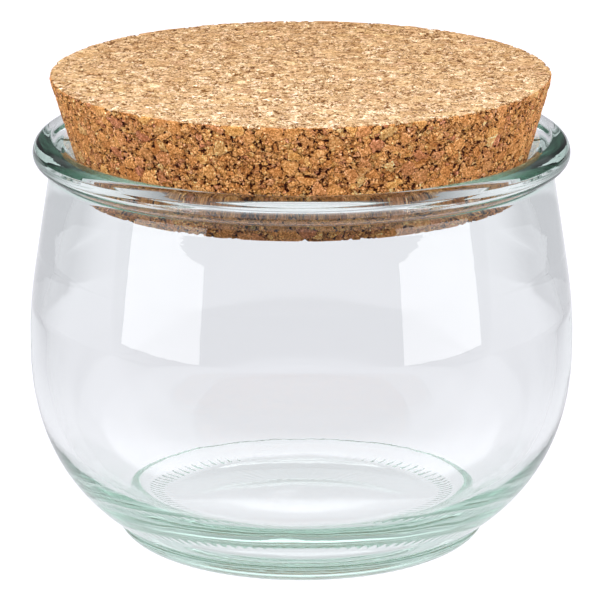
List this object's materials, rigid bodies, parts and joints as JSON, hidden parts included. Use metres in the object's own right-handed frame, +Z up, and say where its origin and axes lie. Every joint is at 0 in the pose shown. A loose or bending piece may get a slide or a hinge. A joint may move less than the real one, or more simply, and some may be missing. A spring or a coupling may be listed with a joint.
{
  "type": "glass jar with cork lid",
  "caption": "Low round-bellied glass preserving jar on a ribbed foot, with a rolled rim and a wide tapered cork stopper that pulls straight up out of its mouth.",
  "frame": {"origin": "centre of the base, on the plane the jar stands on", "axes": "+Z up along the axis of the jar and its lid; -Y faces the picture's camera"},
  "size_m": [0.11, 0.11, 0.0968],
  "materials": {
    "clear_glass": "polished",
    "pressed_cork": "matte"
  },
  "bodies": {
    "jar": {"glass_jar": "clear_glass"},
    "lid": {"cork_lid": "pressed_cork"}
  },
  "joints": [
    {"name": "lid_lift", "type": "slide", "parent": "jar", "child": "lid", "axis": [0, 0, 1], "range_m": [0, 0.06]}
  ]
}
